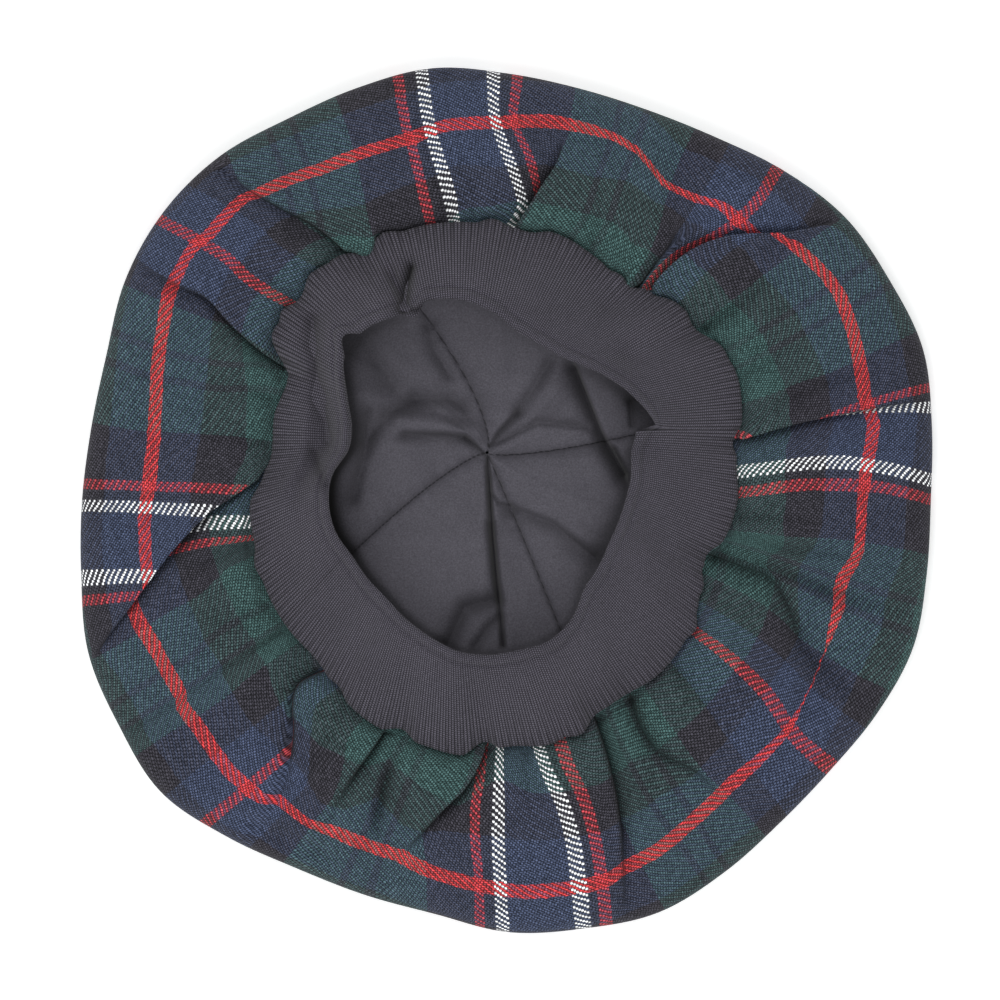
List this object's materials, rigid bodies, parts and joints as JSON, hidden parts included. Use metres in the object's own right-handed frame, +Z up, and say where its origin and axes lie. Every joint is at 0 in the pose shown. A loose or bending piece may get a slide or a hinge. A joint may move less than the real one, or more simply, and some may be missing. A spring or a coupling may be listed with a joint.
{
  "type": "tam o shanter",
  "caption": "Soft round tartan cap lying crown down, with a wide gathered brim, a dark ribbed knit head band and a quartered dark lining.",
  "frame": {"origin": "centre of the bounding box on the surface the crown rests on", "axes": "+Z up out of the head opening as the cap lies crown down, +Y towards the top of the picture, +X to its right"},
  "size_m": [0.2839, 0.2886, 0.0496],
  "materials": {
    "tartan": "matte",
    "knit": "matte",
    "lining": "matte"
  },
  "bodies": {
    "root": {"tartan_crown": "tartan", "knit_band": "knit", "lining_gore_1": "lining", "lining_gore_2": "lining", "lining_gore_3": "lining", "lining_gore_4": "lining"}
  },
  "joints": []
}
